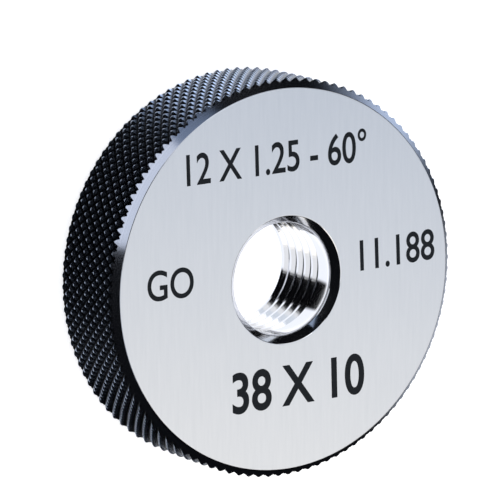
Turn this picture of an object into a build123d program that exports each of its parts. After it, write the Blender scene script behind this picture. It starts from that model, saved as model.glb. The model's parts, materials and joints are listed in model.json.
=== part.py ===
"""Thread ring gauge: one hardened steel ring whose bore is the finished thread.

The ring lies on its back face, at Z = 0, with the marked face on top and the
thread's axis along +Z. Lengths are in millimetres and angles in degrees.
"""
from build123d import *
from build123d.topology import SkipClean
from math import ceil, pi, radians, tan
import os

# Ring
ring_diameter = 38.0    # over the tips of the knurl
ring_width = 10.0
edge_chamfer = 0.9      # at 45 degrees, cut through the knurl

# Knurl, raised diamonds rolled over the whole rim
knurl_teeth = 106       # diamonds around the rim, in each row
knurl_depth = 0.35
knurl_angle = 39.0      # of its grooves, from the axis

# Thread, metric with a 60 degree form, right hand
thread_diameter = 12.0
thread_pitch = 1.25
thread_start = 3.0      # from the marked face to the middle of the groove's first end
thread_finish = 1.3     # from the back face to the middle of its last end
start_angle = 46.0      # of the first end, counted from +X towards +Y

# Countersinks, one at each mouth of the bore
sink_angle = 90.0       # included
sink_clearance = 0.1    # from the thread's root to the countersink's edge, on the radius

# Proportions of the thread's form, the same for every metric thread
form_angle = 60.0
crest_flat = thread_pitch / 4
root_flat = thread_pitch / 8
groove_mouth = thread_pitch - crest_flat
groove_depth = (groove_mouth - root_flat) / 2 / tan(radians(form_angle / 2))

rim_radius = ring_diameter / 2
blank_radius = rim_radius + edge_chamfer    # before the knurl and the chamfers
thread_radius = thread_diameter / 2
bore_radius = thread_radius - groove_depth
sink_radius = thread_radius + sink_clearance
sink_depth = (sink_radius - bore_radius) / tan(radians(sink_angle / 2))

# The groove's cutter widens past the wall by part of the crest, so that no two of its turns meet
cutter_mouth = groove_mouth + crest_flat / 2
cutter_reach = crest_flat / 4 / tan(radians(form_angle / 2))
groove_rise = ring_width - thread_start - thread_finish


def knurl_corner(step, row):
    """A corner of the diamond lattice, in half pitches around and along the rim.

    Tips and roots take turns in both directions, as on a chessboard.
    """
    is_tip = (step + row) % 2 == 0
    radius = rim_radius if is_tip else rim_radius - knurl_depth
    half_pitch = pi * rim_radius / knurl_teeth
    height = ring_width / 2 + row * half_pitch / tan(radians(knurl_angle))
    return Vector(radius, 0, height).rotate(Axis.Z, 180 * step / knurl_teeth)


def knurl_rows():
    """Half the number of rows, enough to pass both faces of the ring."""
    row_height = knurl_corner(0, 1).Z - knurl_corner(0, 0).Z
    return ceil(ring_width / 2 / row_height)


def knurled_bar():
    """A bar with four-sided pyramids all over its side, a little longer than the ring."""
    steps = range(2 * knurl_teeth)
    last_row = knurl_rows()
    faces = []
    for row in range(-last_row, last_row):
        for step in steps:
            near, far = knurl_corner(step, row), knurl_corner(step + 1, row)
            above_near, above_far = knurl_corner(step, row + 1), knurl_corner(step + 1, row + 1)
            if (step + row) % 2 == 0:
                triangles = [(near, far, above_near), (far, above_far, above_near)]
            else:
                triangles = [(near, far, above_far), (near, above_far, above_near)]
            faces += [Face(Wire.make_polygon(corners)) for corners in triangles]
    for end in (-last_row, last_row):
        faces.append(Face(Wire.make_polygon([knurl_corner(step, end) for step in steps])))
    return Solid(Shell(faces))


def tapered_bar():
    """A bar that widens at 45 degrees from both ends to its middle, which leaves the chamfers.

    It has a flat for each half pitch of the knurl, so that the knurl ends in straight edges.
    """
    steps = range(2 * knurl_teeth)
    end_radius = rim_radius - 2 * edge_chamfer
    sections = [
        [Vector(radius, 0, height).rotate(Axis.Z, 180 * step / knurl_teeth) for step in steps]
        for height, radius in (
            (-edge_chamfer, end_radius),
            (ring_width / 2, end_radius + edge_chamfer + ring_width / 2),
            (ring_width + edge_chamfer, end_radius),
        )
    ]
    faces = [Face(Wire.make_polygon(sections[0])), Face(Wire.make_polygon(sections[-1]))]
    for below, above in zip(sections, sections[1:]):
        for step in steps:
            corners = below[step - 1], below[step], above[step], above[step - 1]
            faces.append(Face(Wire.make_polygon(corners)))
    return Solid(Shell(faces))


with BuildPart() as knurled_rim:
    # The knurl's diamonds end in a saw-tooth line on each chamfer
    add(tapered_bar())
    add(knurled_bar(), mode=Mode.INTERSECT)

with BuildPart() as thread_groove:
    with BuildLine() as lead:
        Helix(thread_pitch, groove_rise, bore_radius)
    with BuildSketch(Plane.XZ):
        with BuildLine():
            Polyline(
                (bore_radius - cutter_reach, -cutter_mouth / 2),
                (thread_radius, -root_flat / 2),
                (thread_radius, root_flat / 2),
                (bore_radius - cutter_reach, cutter_mouth / 2),
                close=True,
            )
        make_face()
    sweep(path=lead.wire(), is_frenet=True)

with BuildPart() as threaded_blank:
    # Turned in one go: faces, countersinks and bore
    with BuildSketch(Plane.XZ):
        with BuildLine():
            Polyline(
                (bore_radius, sink_depth),
                (sink_radius, 0),
                (blank_radius, 0),
                (blank_radius, ring_width),
                (sink_radius, ring_width),
                (bore_radius, ring_width - sink_depth),
                close=True,
            )
        make_face()
    revolve(axis=Axis.Z)

    # The thread is blunt at both ends, because a gauge has no part-deep turns
    finish_angle = start_angle - 360 * groove_rise / thread_pitch
    with Locations(Location((0, 0, thread_finish), (0, 0, finish_angle))):
        add(thread_groove.part, mode=Mode.SUBTRACT)

    # Quartered, so that each stretch of the crest is a short, whole patch of its cylinder
    split(bisect_by=Plane.XZ, keep=Keep.BOTH)
    split(bisect_by=Plane.YZ, keep=Keep.BOTH)

# The quarters join as one solid, uncleaned to keep their patches
with SkipClean():
    with BuildPart() as gauge_ring:
        add(threaded_blank.part.solids(), clean=False)

        add(knurled_rim.part, mode=Mode.INTERSECT, clean=False)

gauge_ring.part.label = "gauge_ring"
os.makedirs("parts", exist_ok=True)
export_step(gauge_ring.part, "parts/gauge_ring.step")
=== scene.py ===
# %% [markdown]
# # A thread ring gauge
#
# A solid thread ring gauge is one steel ring. It is turned, knurled round the rim, threaded,
# hardened, and then ground flat and marked. This lesson makes the whole ring as one closed mesh
# on the measured frame, and then gives each of its surfaces the finish of its own tool.

# %% Load the measured frame
import bmesh
import bpy
import json
from math import atan2, ceil, cos, degrees, hypot, pi, radians, sin, tan
from mathutils import Matrix, Vector


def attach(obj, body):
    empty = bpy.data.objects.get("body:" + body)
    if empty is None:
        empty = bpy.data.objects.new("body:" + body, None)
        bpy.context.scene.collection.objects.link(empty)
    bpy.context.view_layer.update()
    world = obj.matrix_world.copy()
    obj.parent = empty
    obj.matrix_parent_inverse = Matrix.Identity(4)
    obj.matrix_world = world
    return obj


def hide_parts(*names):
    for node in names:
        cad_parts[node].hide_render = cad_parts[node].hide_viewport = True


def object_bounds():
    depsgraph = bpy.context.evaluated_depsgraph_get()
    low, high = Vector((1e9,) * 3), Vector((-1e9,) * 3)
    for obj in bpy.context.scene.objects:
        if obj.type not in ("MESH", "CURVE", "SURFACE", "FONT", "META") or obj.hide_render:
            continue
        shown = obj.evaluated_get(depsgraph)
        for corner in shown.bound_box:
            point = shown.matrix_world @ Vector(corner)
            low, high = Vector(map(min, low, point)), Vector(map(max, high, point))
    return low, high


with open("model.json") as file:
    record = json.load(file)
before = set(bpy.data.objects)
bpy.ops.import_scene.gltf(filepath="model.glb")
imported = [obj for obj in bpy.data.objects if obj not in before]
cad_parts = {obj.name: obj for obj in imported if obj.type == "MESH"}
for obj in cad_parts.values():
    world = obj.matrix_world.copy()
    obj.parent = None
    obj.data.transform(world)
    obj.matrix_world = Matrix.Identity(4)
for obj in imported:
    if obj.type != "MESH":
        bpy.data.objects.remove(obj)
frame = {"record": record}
cad_low, cad_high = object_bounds()
scene = bpy.context.scene
print("frame from", tuple(cad_low), "to", tuple(cad_high))

# %% [markdown]
# ## Sizes
#
# The ring's outside comes from the frame's box, and the bore from the frame's own mount. What the
# frame doesn't state is named here once, in millimetres: the chamfer, the knurl's lattice and the
# thread's form.

# %% Name the ring's sizes
MM = 0.001
rim_radius = (cad_high.x - cad_low.x) / 2
ring_width = cad_high.z - cad_low.z
bore_mount = next(m for m in frame["record"]["mounts"] if m["name"] == "gauge_thread")
bore_radius = bore_mount["dims"]["r_mm"] * MM
sink_depth = (ring_width - bore_mount["dims"]["length_mm"] * MM) / 2
sink_radius = bore_radius + sink_depth
chamfer = 0.9 * MM
face_radius = rim_radius - chamfer
hair = 0.01 * MM    # two places nearer than this are the same place
print(f"rim {rim_radius / MM:.2f}, face {face_radius / MM:.2f}, bore {bore_radius / MM:.3f},"
      f" countersink {sink_radius / MM:.2f} by {sink_depth / MM:.3f} mm")

# %% [markdown]
# A knurl is known by its number of teeth, its depth and the angle of its grooves. A metric thread
# is known by its diameter and its pitch: the flat at the root of its groove is an eighth of the
# pitch, and the flat on its crest a quarter.

# %% Name the knurl's and the thread's sizes
knurl_teeth = 106
knurl_depth = 0.35 * MM
knurl_angle = radians(39)
tip_round = 0.2 * MM
half_pitch = pi * rim_radius / knurl_teeth
knurl_row = half_pitch / tan(knurl_angle)
thread_pitch = 1.25 * MM
thread_radius = 6.0 * MM
thread_start = 3.0 * MM
thread_finish = 1.3 * MM
start_angle = radians(46)
root_flat = thread_pitch / 8
crest_flat = thread_pitch / 4
groove_mouth = thread_pitch - crest_flat
print(f"knurl: {2 * knurl_teeth} half pitches of {half_pitch / MM:.3f} mm,"
      f" rows {knurl_row / MM:.3f} mm apart")

# %% [markdown]
# ## The camera
#
# The photograph was taken with a long lens from in front of the marked face, a little to its left
# and a little above. The ring lies on its back here, so the same direction looks down on it. The
# camera's place is worked out from that direction, from how far off it stands and from how far the
# picture's middle is from the bore's.

# %% Place the camera
camera_turn = radians(32.35)      # round the lettering's upright, to the left of the face's normal
camera_rise = radians(10.97)      # above the bore, along the lettering's upright
camera_roll = radians(-0.54)
camera_distance = 450 * MM
bore_offset = (3.4208 * MM, -2.8071 * MM)    # of the bore's middle from the picture's, right and up
image_pixels = 500
focal_pixels = 4812.0
sensor_width = 36.0               # in millimetres, as a lens is counted

towards = Vector((-sin(camera_turn) * cos(camera_rise), sin(camera_rise),
                  cos(camera_turn) * cos(camera_rise)))
level = Vector((cos(camera_turn), 0, sin(camera_turn)))
upright = towards.cross(level)
right = cos(camera_roll) * level + sin(camera_roll) * upright
up = cos(camera_roll) * upright - sin(camera_roll) * level
face_middle = Vector((0, 0, cad_high.z))
camera_place = face_middle + towards * camera_distance - right * bore_offset[0] - up * bore_offset[1]

camera_data = bpy.data.cameras.new("camera")
camera_data.sensor_width = sensor_width
camera_data.lens = focal_pixels / image_pixels * sensor_width
camera_data.clip_start = 0.01
camera_data.clip_end = 10
camera = bpy.data.objects.new("camera", camera_data)
scene.collection.objects.link(camera)
camera.matrix_world = Matrix.Translation(camera_place) @ Matrix((right, up, towards)).transposed().to_4x4()
scene.camera = camera
print(f"camera {camera_distance / MM:.0f} mm off, lens {camera_data.lens:.0f} mm")

# %% [markdown]
# ## Helpers for edit mode
#
# An operator works on whatever is selected, and the frame arrives selected. So each new piece
# starts with everything deselected, and a small function picks corners or faces by a rule on
# their place, as one would click on them.

# %% Pick by place
flat_lean = 0.9    # the least upright part of a flat face's normal


def start_piece():
    """Leaves object mode with nothing selected."""
    if bpy.context.object and bpy.context.object.mode == "EDIT":
        bpy.ops.object.mode_set(mode="OBJECT")
    bpy.ops.object.select_all(action="DESELECT")


def pick(kind, rule):
    """In edit mode, selects only the vertices, edges or faces whose rule is true, and counts them."""
    bpy.ops.mesh.select_all(action="DESELECT")
    bpy.ops.mesh.select_mode(type={"verts": "VERT", "edges": "EDGE", "faces": "FACE"}[kind])
    mesh = bmesh.from_edit_mesh(bpy.context.object.data)
    chosen = [part for part in getattr(mesh, kind) if rule(part)]
    for part in chosen:
        part.select_set(True)
    mesh.select_flush_mode()
    bmesh.update_edit_mesh(bpy.context.object.data)
    return len(chosen)


def radius_of(point):
    return hypot(point.x, point.y)


def place_in_mesh(piece):
    """Moves an object's place, turn and scale into its mesh."""
    start_piece()
    piece.select_set(True)
    bpy.context.view_layer.objects.active = piece
    bpy.ops.object.transform_apply(location=True, rotation=True, scale=True)


def cut(piece, tool, operation):
    """Applies a boolean with the tool, which is then deleted."""
    start_piece()
    piece.select_set(True)
    bpy.context.view_layer.objects.active = piece
    modifier = piece.modifiers.new("cut", "BOOLEAN")
    modifier.operation = operation
    modifier.solver = "EXACT"
    modifier.object = tool
    bpy.ops.object.modifier_apply(modifier=modifier.name)
    bpy.data.objects.remove(tool, do_unlink=True)


print("helpers ready")

# %% [markdown]
# ## The knurl
#
# A diamond knurl is rolled: two hardened wheels press crossing grooves into the rim and leave
# rows of little pyramids. It could be drawn by a bump, but the rim's outline and the saw-tooth
# line along the chamfer need real pyramids. A cylinder with a side for each half pitch is divided
# into rows, every other corner is pushed in, and each patch is then folded along its groove.

# %% Make the knurled bar
rows = 2 * ceil(ring_width / 2 / knurl_row)
start_piece()
bpy.ops.mesh.primitive_cylinder_add(
    vertices=2 * knurl_teeth, radius=rim_radius, depth=rows * knurl_row, end_fill_type="NGON",
    location=(0, 0, ring_width / 2))
knurl = bpy.context.object
knurl.name = "knurl_tool"
place_in_mesh(knurl)
bpy.ops.object.mode_set(mode="EDIT")
pick("edges", lambda e: abs(e.verts[0].co.z - e.verts[1].co.z) > knurl_row)
bpy.ops.mesh.subdivide(number_cuts=rows - 1)


def is_groove(point):
    """True for the corners between the pyramids' tips, which take turns as on a chessboard."""
    step = round(atan2(point.y, point.x) / (pi / knurl_teeth))
    row = round((point.z - ring_width / 2) / knurl_row)
    return (step + row) % 2 == 1


groove_scale = (rim_radius - knurl_depth) / rim_radius
pushed = pick("verts", lambda v: is_groove(v.co))
bpy.ops.transform.resize(value=(groove_scale, groove_scale, 1), center_override=(0, 0, 0))
print(f"knurled bar: {rows} rows, {pushed} corners pushed in")

# %% [markdown]
# Rolling never fills the wheel's sharp bottom, so each pyramid keeps a small rounded top, and it
# is these tops that glint. A vertex bevel on the tips makes them.

# %% Fold the grooves and round the tips
pick("faces", lambda f: abs(f.normal.z) < flat_lean)
bpy.ops.mesh.quads_convert_to_tris(quad_method="SHORTEST_DIAGONAL")
tips = pick("verts", lambda v: radius_of(v.co) > rim_radius - knurl_depth / 2)
bpy.ops.mesh.bevel(offset=tip_round, offset_type="OFFSET", affect="VERTICES", segments=3)
bpy.ops.object.mode_set(mode="OBJECT")
print(f"knurl: {tips} tips, {len(knurl.data.polygons)} faces")

# %% [markdown]
# ## The turned blank
#
# The lathe leaves a ring with chamfered corners and a countersunk hole. A cylinder's corners are
# bevelled at 45 degrees for the chamfers, its ends are inset for the countersinks, and the two
# holes are bridged for the bore. The blank is a little wider than the rim, so that the knurl alone
# bounds it there. Polishing has rounded the corner between each countersink and the bore.

# %% Turn the blank
blank_allowance = 0.3 * MM
blank_sides = 4 * knurl_teeth
mouth_round = 0.22 * MM
start_piece()
bpy.ops.mesh.primitive_cylinder_add(
    vertices=blank_sides, radius=rim_radius + blank_allowance, depth=ring_width, end_fill_type="NGON",
    location=(0, 0, ring_width / 2))
ring = bpy.context.object
ring.name = "gauge_ring_steel"
ring.data.name = "gauge_ring_steel"
place_in_mesh(ring)
bpy.ops.object.mode_set(mode="EDIT")
pick("edges", lambda e: abs(e.verts[0].co.z - e.verts[1].co.z) < hair)
bpy.ops.mesh.bevel(offset=chamfer + blank_allowance, offset_type="OFFSET", affect="EDGES", segments=1)
for end in (1, -1):
    pick("faces", lambda f: f.normal.z * end > flat_lean)
    bpy.ops.mesh.inset(thickness=face_radius - sink_radius, depth=0)
    bpy.ops.mesh.inset(thickness=sink_depth, depth=-sink_depth)
pick("faces", lambda f: abs(f.normal.z) > flat_lean and radius_of(f.calc_center_median()) < hair)
bpy.ops.mesh.delete(type="ONLY_FACE")
pick("edges", lambda e: e.is_boundary)
bpy.ops.mesh.bridge_edge_loops()
pick("edges", lambda e: all(abs(radius_of(v.co) - bore_radius) < hair for v in e.verts)
     and abs(e.verts[0].co.z - e.verts[1].co.z) < hair)
bpy.ops.mesh.bevel(offset=mouth_round, offset_type="OFFSET", affect="EDGES", segments=6)
bpy.ops.object.mode_set(mode="OBJECT")
blank_radius = max(radius_of(v.co) for v in ring.data.vertices)
print(f"blank: {len(ring.data.polygons)} faces, {blank_radius / MM:.2f} mm in radius")

# %% [markdown]
# ## The thread
#
# The gauging thread is ground as one groove along a helix, with a 60 degree form. One section of
# the groove is drawn, the screw modifier carries it up the helix, and the result is cut out of
# the blank. It is blunt at both ends: a gauge's thread has no weak, part-deep first turn.

# %% Draw one section of the groove
half_form = radians(30)
groove_reach = crest_flat / 4 / tan(half_form)    # past the wall, so that the cut is clean
cutter_mouth = groove_mouth + crest_flat / 2
inner_edge = bore_radius - groove_reach
start_piece()
bpy.ops.mesh.primitive_plane_add(size=1, rotation=(radians(90), 0, 0))
groove = bpy.context.object
groove.name = "groove_tool"
groove.scale = (thread_radius - inner_edge, cutter_mouth, 1)
groove.location = ((thread_radius + inner_edge) / 2, 0, 0)
place_in_mesh(groove)
bpy.ops.object.mode_set(mode="EDIT")
pick("verts", lambda v: v.co.x > (thread_radius + inner_edge) / 2)
bpy.ops.transform.resize(value=(1, 1, root_flat / cutter_mouth), center_override=(0, 0, 0))
bpy.ops.mesh.select_all(action="SELECT")
bpy.ops.mesh.delete(type="ONLY_FACE")
bpy.ops.object.mode_set(mode="OBJECT")
print(f"section: {cutter_mouth / MM:.2f} mm at its mouth, {root_flat / MM:.2f} mm at its root")

# %% [markdown]
# The screw modifier turns a line round the upright axis while it lifts it, and draws the surface
# that the line sweeps. With 120 steps in a turn the flanks look smooth close up. The two open ends
# are then closed with a face each, because only a closed solid can be cut out of another.

# %% Carry the section up the helix
groove_rise = ring_width - thread_start - thread_finish
groove_turns = groove_rise / thread_pitch
steps_per_turn = 120
screw = groove.modifiers.new("helix", "SCREW")
screw.angle = 2 * pi * groove_turns
screw.screw_offset = groove_rise
screw.steps = round(groove_turns * steps_per_turn)
screw.render_steps = screw.steps
bpy.ops.object.modifier_apply(modifier=screw.name)
bpy.ops.object.mode_set(mode="EDIT")
pick("edges", lambda e: e.is_boundary)
bpy.ops.mesh.edge_face_add()
bpy.ops.mesh.select_all(action="SELECT")
bpy.ops.mesh.normals_make_consistent(inside=False)
bpy.ops.object.mode_set(mode="OBJECT")
print(f"groove: {groove_turns:.2f} turns, {len(groove.data.polygons)} faces")

# %% [markdown]
# The cutter is turned so that its last end comes out where the ring's thread starts, at the upper
# right of the bore, and only then is it taken out of the blank.

# %% Cut the thread
finish_angle = start_angle - 2 * pi * groove_turns
groove.rotation_euler = (0, 0, finish_angle)
groove.location = (0, 0, thread_finish)
place_in_mesh(groove)
top_end = max(groove.data.vertices, key=lambda v: v.co.z).co
print(f"thread starts at {degrees(atan2(top_end.y, top_end.x)):.0f} degrees")
cut(ring, groove, "DIFFERENCE")

# %% [markdown]
# ## One steel ring
#
# The blank is cut down to the knurled bar, which leaves the pyramids all round and ends them in a
# saw-tooth line on each chamfer. Both cuts leave a few points on top of each other, which merge.

# %% Cut the blank down to the knurl
merge_distance = 0.0005 * MM
cut(ring, knurl, "INTERSECT")
bpy.ops.object.mode_set(mode="EDIT")
bpy.ops.mesh.select_all(action="SELECT")
bpy.ops.mesh.remove_doubles(threshold=merge_distance)
print(f"ring: {len(bmesh.from_edit_mesh(ring.data).faces)} faces after the two cuts")

# %% [markdown]
# Real corners are never quite sharp. So the corners that the grinder left round the flat faces get
# a narrow bevel, which is what catches the light there. Shading is then smoothed only across small
# angles: a wider one would smooth the facets of the knurl into its rounded tips, and dull both.

# %% Break the edges and smooth the shading
edge_break = 0.06 * MM
smooth_angle = radians(10)


def on_face_corner(edge):
    """True for the round edges between a flat face and its chamfer or countersink."""
    flat = all(min(abs(v.co.z), abs(v.co.z - ring_width)) < hair for v in edge.verts)
    radii = [radius_of(v.co) for v in edge.verts]
    return flat and any(all(abs(r - corner) < hair for r in radii) for corner in (face_radius, sink_radius))


corners = pick("edges", on_face_corner)
bpy.ops.mesh.bevel(offset=edge_break, offset_type="OFFSET", affect="EDGES", segments=2)
bpy.ops.mesh.select_all(action="SELECT")
bpy.ops.mesh.normals_make_consistent(inside=False)
bpy.ops.object.mode_set(mode="OBJECT")
bpy.ops.object.shade_smooth_by_angle(angle=smooth_angle)
check = bmesh.new()
check.from_mesh(ring.data)
open_edges = sum(not e.is_manifold for e in check.edges)
print(f"ring: {corners} corner edges, {len(ring.data.polygons)} faces, {open_edges} open edges,"
      f" {check.calc_volume() / MM ** 3:.0f} cubic mm")
check.free()

# %% [markdown]
# ## Colours and nodes
#
# Colours are written as the hex codes that a paint or picture program shows, and one function
# turns them into the linear values that the renderer adds up. A second one adds a node with its
# settings and its links, so that a material reads from top to bottom.

# %% Colour and node helpers
def colour(code):
    """A hex code such as #c8ccd2 as linear red, green, blue and alpha."""
    channels = [int(code[k:k + 2], 16) / 255 for k in (1, 3, 5)]
    return tuple(c / 12.92 if c < 0.04045 else ((c + 0.055) / 1.055) ** 2.4 for c in channels) + (1.0,)


def add_node(tree, kind, settings=None, **inputs):
    """Adds a node. An input is a value, or another node's output, which is linked."""
    node = tree.nodes.new(kind)
    for name, value in (settings or {}).items():
        setattr(node, name, value)
    for name, value in inputs.items():
        socket = node.inputs[int(name[1:])] if name[0] == "_" else node.inputs[name.replace("_", " ")]
        if isinstance(value, bpy.types.NodeSocket):
            tree.links.new(value, socket)
        else:
            socket.default_value = value
    return node


def new_material(name):
    """A new material whose nodes are all cleared, and its node tree."""
    material = bpy.data.materials.new(name)
    material.use_nodes = True
    material.node_tree.nodes.clear()
    return material, material.node_tree


def finish_material(tree, **inputs):
    """Ends a material with a Principled shader that has these inputs."""
    shader = add_node(tree, "ShaderNodeBsdfPrincipled", **inputs)
    add_node(tree, "ShaderNodeOutputMaterial", Surface=shader.outputs["BSDF"])


def finish_lamp(tree, **inputs):
    """Ends a material that only gives off light, for the studio's lamps."""
    lamp = add_node(tree, "ShaderNodeEmission", **inputs)
    add_node(tree, "ShaderNodeOutputMaterial", Surface=lamp.outputs[0])


print("pale steel, linear:", tuple(round(c, 3) for c in colour("#c8ccd2")))

# %% [markdown]
# ## Ground steel
#
# The two faces are ground flat after hardening. The wheel leaves fine straight lines, too fine to
# show one by one, which blur into faint upright streaks, so they are drawn a few tenths of a
# millimetre wide.

# %% Ground steel for the faces
streak_width = 0.35 * MM
streak_length = 5 * MM


def ground_steel():
    material, tree = new_material("ground_hardened_steel")
    place = add_node(tree, "ShaderNodeTexCoord").outputs["Object"]
    along = add_node(tree, "ShaderNodeMapping", Vector=place,
                     Scale=(1 / streak_width, 1 / streak_length, 1 / streak_length)).outputs[0]
    streaks = add_node(tree, "ShaderNodeTexNoise", Vector=along, Scale=1.0, Detail=3.0,
                       Roughness=0.6).outputs["Fac"]
    tone = add_node(tree, "ShaderNodeMix", {"data_type": "RGBA"}, Factor=streaks,
                    _6=colour("#cdd1d8"), _7=colour("#dadde3")).outputs[2]
    gloss = add_node(tree, "ShaderNodeMapRange", Value=streaks, _3=0.36, _4=0.40).outputs[0]
    lines = add_node(tree, "ShaderNodeBump", Strength=0.10, Distance=0.001 * MM, Height=streaks).outputs[0]
    finish_material(tree, Base_Color=tone, Metallic=1.0, Roughness=gloss, Normal=lines)
    return material


ground = ground_steel()
print(f"{ground.name}: {len(ground.node_tree.nodes)} nodes")

# %% [markdown]
# ## Turned steel
#
# The chamfers are left as the lathe cut them: smooth and bright, with the tool's feed marks as
# rings round the axis.

# %% Turned steel for the chamfers
feed_mark = 0.09 * MM


def distance_from_axis(tree):
    """How far a point of the surface lies from the ring's axis, for finishes that go round it."""
    place = add_node(tree, "ShaderNodeTexCoord").outputs["Object"]
    flat = add_node(tree, "ShaderNodeVectorMath", {"operation": "MULTIPLY"},
                    _0=place, _1=(1, 1, 0)).outputs[0]
    return add_node(tree, "ShaderNodeVectorMath", {"operation": "LENGTH"}, _0=flat).outputs["Value"]


def turned_steel():
    material, tree = new_material("turned_steel")
    radius = distance_from_axis(tree)
    feed = add_node(tree, "ShaderNodeMath", {"operation": "MULTIPLY"},
                    _0=radius, _1=1 / feed_mark).outputs[0]
    rings = add_node(tree, "ShaderNodeTexNoise", {"noise_dimensions": "1D"}, W=feed, Scale=1.0,
                     Detail=2.0).outputs["Fac"]
    tone = add_node(tree, "ShaderNodeMix", {"data_type": "RGBA"}, Factor=rings,
                    _6=colour("#b4bac6"), _7=colour("#d5d9e2")).outputs[2]
    ridges = add_node(tree, "ShaderNodeBump", Strength=0.3, Distance=0.004 * MM, Height=rings).outputs[0]
    finish_material(tree, Base_Color=tone, Metallic=1.0, Roughness=0.16, Normal=ridges)
    return material


turned = turned_steel()
print(f"{turned.name}: {len(turned.node_tree.nodes)} nodes")

# %% [markdown]
# ## Knurled steel
#
# The grooves between the pyramids are painted dark, a painted shade, and their tips bright and bluish, a
# painted highlight. The distance from the axis tells the two apart.

# %% Knurled steel for the rim
painted_highlight_depth, painted_shade_depth = 0.45, 0.95    # where the painted shade of the grooves turns into the painted highlight of the tips, as shares of the knurl's depth
# the size of the patches within the painted shade
painted_shade_patch = 0.4 * MM


def knurled_steel():
    material, tree = new_material("knurled_hardened_steel")
    place = add_node(tree, "ShaderNodeTexCoord").outputs["Object"]
    # Near the tips the painted highlight is full, and deep in the grooves the painted shade is full.
    height = add_node(tree, "ShaderNodeMapRange", {"interpolation_type": "SMOOTHSTEP"},
                      Value=distance_from_axis(tree), _1=rim_radius - painted_shade_depth * knurl_depth,
                      _2=rim_radius - painted_highlight_depth * knurl_depth).outputs[0]
    shade_mottle = add_node(tree, "ShaderNodeTexNoise", Vector=place, Scale=1 / painted_shade_patch, Detail=3.0).outputs["Fac"]
    # The grooves are painted dark in patches, as painted shade.
    dark = add_node(tree, "ShaderNodeMix", {"data_type": "RGBA"}, Factor=shade_mottle,
                    _6=colour("#0f1116"), _7=colour("#262a33")).outputs[2]
    # The tips are painted bright, as a painted highlight.
    tone = add_node(tree, "ShaderNodeMix", {"data_type": "RGBA"}, Factor=height,
                    _6=dark, _7=colour("#b0bccf")).outputs[2]
    finish_material(tree, Base_Color=tone, Metallic=1.0, Roughness=0.27)
    return material


knurled = knurled_steel()
print(f"{knurled.name}: {len(knurled.node_tree.nodes)} nodes")

# %% [markdown]
# ## Lapped steel
#
# The thread does the measuring, so it is lapped to a mirror finish after hardening, and the
# countersinks are polished with it.

# %% Lapped steel for the bore
lap_length = 1.0 * MM    # round the bore
lap_width = 0.1 * MM     # along its axis


def lapped_steel():
    material, tree = new_material("lapped_hardened_steel")
    place = add_node(tree, "ShaderNodeTexCoord").outputs["Object"]
    along = add_node(tree, "ShaderNodeMapping", Vector=place,
                     Scale=(1 / lap_length, 1 / lap_length, 1 / lap_width)).outputs[0]
    laps = add_node(tree, "ShaderNodeTexNoise", Vector=along, Scale=1.0, Detail=2.0).outputs["Fac"]
    gloss = add_node(tree, "ShaderNodeMapRange", Value=laps, _3=0.05, _4=0.12).outputs[0]
    finish_material(tree, Base_Color=colour("#eeeff2"), Metallic=1.0, Roughness=gloss)
    return material


lapped = lapped_steel()
print(f"{lapped.name}: {len(lapped.node_tree.nodes)} nodes")

# %% [markdown]
# All four finishes are on the one ring, so each face is told which it has. Where it lies and how it
# leans says enough: inside the countersink's edge is lapped, flat is ground, at 45 degrees is
# turned, and what is left is the knurl.

# %% Give each surface its finish
ring.data.materials.clear()
for material in (ground, turned, knurled, lapped):
    ring.data.materials.append(material)
GROUND, TURNED, KNURLED, LAPPED = range(4)
chamfer_lean = 0.69    # the least upright part of a chamfer's normal, which is 0.71


def finish_of(face):
    """Which finish a face of the ring has, by where it lies and how it leans."""
    if radius_of(face.center) < sink_radius - hair:
        return LAPPED
    if abs(face.normal.z) > flat_lean:
        return GROUND
    if abs(face.normal.z) > chamfer_lean:
        return TURNED
    return KNURLED


counts = [0] * len(ring.data.materials)
for face in ring.data.polygons:
    face.material_index = finish_of(face)
    counts[face.material_index] += 1
print("faces by finish:", dict(zip([m.name for m in ring.data.materials], counts)))

# %% [markdown]
# ## The marks
#
# A ring gauge is marked after hardening, by etching, which only darkens the steel. So each mark is
# a thin plate of text, sunk in the face but for a few thousandths of a millimetre, and stretched
# to the box that it fills. Only plain words and sizes are marked: that this is the GO ring, the
# thread's diameter, pitch and angle, its pitch diameter, and the ring's own diameter and width.

# %% Etched steel for the marks
etch_grain = 0.25 * MM


def etched_steel():
    material, tree = new_material("etched_mark")
    place = add_node(tree, "ShaderNodeTexCoord").outputs["Object"]
    grain = add_node(tree, "ShaderNodeTexNoise", Vector=place, Scale=1 / etch_grain,
                     Detail=2.0).outputs["Fac"]
    tone = add_node(tree, "ShaderNodeMix", {"data_type": "RGBA"}, Factor=grain,
                    _6=colour("#0b1016"), _7=colour("#181f28")).outputs[2]
    finish_material(tree, Base_Color=tone, Roughness=0.75, Specular_IOR_Level=0.3)
    return material


etched = etched_steel()
print(f"{etched.name}: {len(etched.node_tree.nodes)} nodes")

# %% [markdown]
# Each mark is typed as a text object, thickened a little by its offset, and made a mesh. Only then
# is it stretched to its box, leaned and laid on the face, so that its place ends up in its mesh.

# %% Etch the marks
mark_depth = 0.02 * MM
mark_rise = 0.005 * MM
plain_weight, bold_weight = 0.011, 0.02


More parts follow.
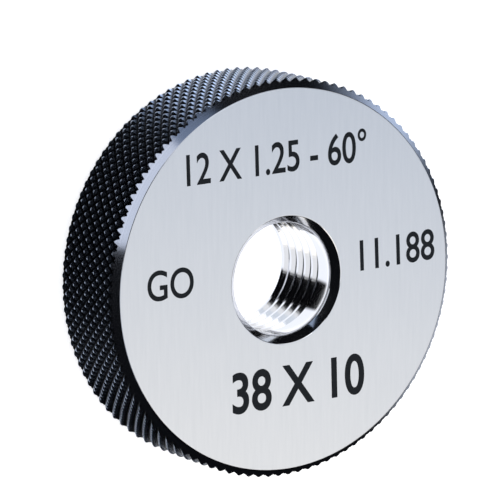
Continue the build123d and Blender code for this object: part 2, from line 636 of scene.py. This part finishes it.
def etch(name, words, left, right_end, base, height, lean, weight):
    """Puts words on the marked face and returns the piece.

    The box is in millimetres from the bore's middle, and the lean in degrees round it.
    """
    start_piece()
    bpy.ops.object.text_add(location=(0, 0, 0))
    piece = bpy.context.object
    piece.data.body = words
    piece.data.offset = weight
    piece.data.extrude = 0.5
    bpy.ops.object.convert(target="MESH")
    piece = bpy.context.object
    piece.name = name
    across = [v.co.x for v in piece.data.vertices]
    along = [v.co.y for v in piece.data.vertices]
    wide = (right_end - left) * MM / (max(across) - min(across))
    tall = height * MM / (max(along) - min(along))
    piece.scale = (wide, tall, mark_depth)
    piece.location = (left * MM - min(across) * wide, base * MM - min(along) * tall,
                      cad_high.z + mark_rise - mark_depth / 2)
    place_in_mesh(piece)
    piece.rotation_euler = (0, 0, radians(lean))
    place_in_mesh(piece)
    piece.data.name = name
    piece.data.materials.clear()
    piece.data.materials.append(etched)
    return piece


marks = [
    etch("mark_thread_size", "12 X 1.25 - 60\u00b0", -10.6, 9.3, 10.2, 3.15, 1.2, plain_weight),
    etch("mark_go", "GO", -15.2, -10.2, -0.4, 2.9, 0.0, plain_weight),
    etch("mark_pitch_diameter", "11.188", 8.3, 16.8, -0.35, 3.0, 1.6, plain_weight),
    etch("mark_outside_size", "38 X 10", -6.3, 8.5, -12.1, 4.0, 1.0, bold_weight),
]
print("marks:", [(mark.name, len(mark.data.polygons)) for mark in marks])

# %% [markdown]
# ## The studio
#
# Polished steel shows nothing of its own: it shows the room. The ring is photographed in a white
# tent with a white dome above and a white table below. Black cloth hangs all round at the ring's
# own height, which is what the chamfers and the knurl reflect, and the camera looks in through a
# dark opening, whose reflection is the black band across the thread. The tent is drawn in the
# world as soft round cards and dark flags, each with a direction and an inner and an outer angle.

# %% Pitch the tent
scene.view_settings.view_transform = "Standard"
scene.view_settings.look = "None"
scene.cycles.glossy_bounces = 3   # so that the thread's deepest corners stay dark
world = bpy.data.worlds.new("light_tent")
scene.world = world
world.use_nodes = True
tent = world.node_tree
tent.nodes.clear()
look = add_node(tent, "ShaderNodeTexCoord").outputs["Generated"]


def spot(direction, inner, outer, strength):
    """How much of a soft round spot lies in the direction looked in, from nothing to its strength."""
    facing = add_node(tent, "ShaderNodeVectorMath", {"operation": "DOT_PRODUCT"}, _0=look,
                      _1=Vector(direction).normalized()).outputs["Value"]
    return add_node(tent, "ShaderNodeMapRange", {"interpolation_type": "SMOOTHSTEP"}, Value=facing,
                    _1=cos(radians(outer)), _2=cos(radians(inner)), _3=0.0, _4=strength).outputs[0]


def card(light, direction, inner, outer, strength, code):
    """Adds a bright card to the light so far, and returns the sum."""
    amount = spot(direction, inner, outer, strength)
    return add_node(tent, "ShaderNodeMix", {"data_type": "RGBA", "blend_type": "ADD", "clamp_factor": False},
                    Factor=amount, _6=light, _7=colour(code)).outputs[2]


def flag(light, direction, inner, outer):
    """Hangs black cloth in front of the light so far."""
    amount = spot(direction, inner, outer, 1.0)
    return add_node(tent, "ShaderNodeMix", {"data_type": "RGBA"}, Factor=amount, _6=light,
                    _7=colour("#050507")).outputs[2]


print("tent pitched")

# %% [markdown]
# The dome and the table are wide cards. The low ones on the right are bluish and narrow: they are
# what the facets of the knurl glint with. The flags come last, because cloth hides what hangs
# behind it. Seen past the ring, the tent is a plain pale backdrop.

# %% Hang the cards and the flags
cards = (    # where each hangs, its inner and outer angle in degrees, its strength and its tint
    ((0.0, 0.0, 1.0), 41, 50, 0.92, "#fbfcff"),
    ((0.35, 0.66, 0.67), 12, 24, 0.9, "#fbfcff"),
    ((0.0, 0.0, -1.0), 44, 58, 1.15, "#f4f7ff"),
    ((0.90, 0.36, -0.26), 10, 28, 0.42, "#bac6da"),
    ((0.76, 0.42, -0.50), 10, 26, 2.3, "#bac6da"),
    ((0.74, -0.27, -0.62), 6, 14, 0.5, "#c8cfdc"),
)
flags = (    # where each hangs, and its inner and outer angle in degrees
    ((0.39, -0.68, -0.62), 14, 21),
    ((-0.36, 0.26, 0.90), 15, 21),
    ((-0.46, 0.30, -0.83), 15, 20),
)
light = colour("#0c0d10")
for direction, inner, outer, strength, code in cards:
    light = card(light, direction, inner, outer, strength, code)
for direction, inner, outer in flags:
    light = flag(light, direction, inner, outer)
camera_ray = add_node(tent, "ShaderNodeLightPath").outputs["Is Camera Ray"]
shown = add_node(tent, "ShaderNodeMix", {"data_type": "RGBA"}, Factor=camera_ray,
                 _6=light, _7=colour("#f6f7f8")).outputs[2]
background = add_node(tent, "ShaderNodeBackground", Color=shown, Strength=1.0)
add_node(tent, "ShaderNodeOutputWorld", Surface=background.outputs[0])
print(f"tent: {len(cards)} cards, {len(flags)} flags, {len(tent.nodes)} nodes")

# %% [markdown]
# A low strip light stands close to the ring at its upper left, outside the picture. It is so near
# that the chamfer on that side reflects it, while the countersink, further in, looks over it.

# %% Stand the strip light
strip_radius = 50 * MM
strip_low, strip_high = 23 * MM, 36 * MM
strip_from, strip_to, strip_bright_from = radians(97), radians(166), radians(118)
start_piece()
bpy.ops.mesh.primitive_cylinder_add(vertices=360, radius=strip_radius, depth=strip_high - strip_low,
                                    end_fill_type="NOTHING", location=(0, 0, (strip_low + strip_high) / 2))
strip = bpy.context.object
strip.name = "strip_light"
place_in_mesh(strip)
bpy.ops.object.mode_set(mode="EDIT")


def around(point):
    return atan2(point.y, point.x) % (2 * pi)


pick("faces", lambda f: not strip_from < around(f.calc_center_median()) < strip_to)
bpy.ops.mesh.delete(type="FACE")
bpy.ops.object.mode_set(mode="OBJECT")
for name, code, strength in (("strip_bright", "#eef3ff", 1.15), ("strip_dim", "#9fb0cc", 0.75)):
    glow, glow_tree = new_material(name)
    finish_lamp(glow_tree, Color=colour(code), Strength=strength)
    strip.data.materials.append(glow)
for face in strip.data.polygons:
    face.material_index = 0 if around(face.center) > strip_bright_from else 1
strip.visible_camera = False
strip.visible_shadow = False
print(f"strip light: {len(strip.data.polygons)} faces")

# %% [markdown]
# A large soft box hangs over the ring's right side, where the marked face looks. It is brighter
# towards the bottom of the picture, which gives the face its gentle fall of light.

# %% Hang the soft box
box_size = (124 * MM, 107 * MM)
box_place = (45.5 * MM, -28 * MM, 60 * MM)
box_turn = radians(-17)
box_falls_along = (-0.210, -0.978, 0)    # down the picture, as a direction on the box
fall_from, fall_to = -42 * MM, 78 * MM
tint_from, tint_to = -22 * MM, 28 * MM
start_piece()
bpy.ops.mesh.primitive_plane_add(size=1, location=box_place, rotation=(0, 0, box_turn))
soft_box = bpy.context.object
soft_box.scale = (box_size[0], box_size[1], 1)
soft_box.name = "soft_box"
place_in_mesh(soft_box)
box_glow, box_tree = new_material("soft_box_cloth")
box_point = add_node(box_tree, "ShaderNodeTexCoord").outputs["Object"]
box_down = add_node(box_tree, "ShaderNodeVectorMath", {"operation": "DOT_PRODUCT"}, _0=box_point,
                    _1=box_falls_along).outputs["Value"]
box_fall = add_node(box_tree, "ShaderNodeMapRange", Value=box_down, _1=fall_from, _2=fall_to,
                    _3=0.86, _4=1.55).outputs[0]
box_share = add_node(box_tree, "ShaderNodeMapRange", Value=box_down, _1=tint_from, _2=tint_to).outputs[0]
box_tone = add_node(box_tree, "ShaderNodeMix", {"data_type": "RGBA"}, Factor=box_share,
                    _6=colour("#e6eef9"), _7=colour("#fffbf4")).outputs[2]
finish_lamp(box_tree, Color=box_tone, Strength=box_fall)
soft_box.data.materials.append(box_glow)
soft_box.visible_camera = False
soft_box.visible_shadow = False
print(f"soft box: {box_size[0] / MM:.0f} by {box_size[1] / MM:.0f} mm, {box_place[2] / MM:.0f} mm up")

# %% [markdown]
# The ring lies on a light table of opal acrylic, which glows just enough to be as pale as the
# backdrop. The steel doesn't reflect it, because the table in the world's light is already there.

# %% Lay the light table
floor_size = 3.0    # in metres, so that its edge is out of sight
start_piece()
bpy.ops.mesh.primitive_plane_add(size=floor_size, location=(0, 0, 0))
floor = bpy.context.object
floor.name = "light_table"
table_material, table_tree = new_material("opal_acrylic")
finish_material(table_tree, Base_Color=colour("#f2f3f5"), Roughness=0.6,
                Emission_Color=colour("#ffffff"), Emission_Strength=0.8)
floor.data.materials.append(table_material)
floor.visible_glossy = False
print(f"light table: {floor_size:.0f} m square")

# %% [markdown]
# Light that is turned once or twice inside the thread leaves the hole at the back nearly level. A
# short white sleeve under the table top catches it, out of sight of the camera.

# %% Sink the light well
well_radius = 13 * MM
well_depth = 13 * MM
well_gap = 0.1 * MM    # under the table top
start_piece()
bpy.ops.mesh.primitive_cylinder_add(vertices=96, radius=well_radius, depth=well_depth,
                                    end_fill_type="NOTHING", location=(0, 0, -well_depth / 2 - well_gap))
well = bpy.context.object
well.name = "light_well"
well_glow, well_tree = new_material("well_glow")
finish_lamp(well_tree, Color=colour("#fbfcff"), Strength=1.2)
well.data.materials.append(well_glow)
well.visible_camera = False
well.visible_shadow = False
print(f"light well: {len(well.data.polygons)} faces")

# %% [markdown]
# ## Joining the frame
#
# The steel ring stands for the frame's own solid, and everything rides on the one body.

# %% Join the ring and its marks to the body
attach(ring, "root")
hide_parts("gauge_ring")
for mark in marks:
    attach(mark, "root")
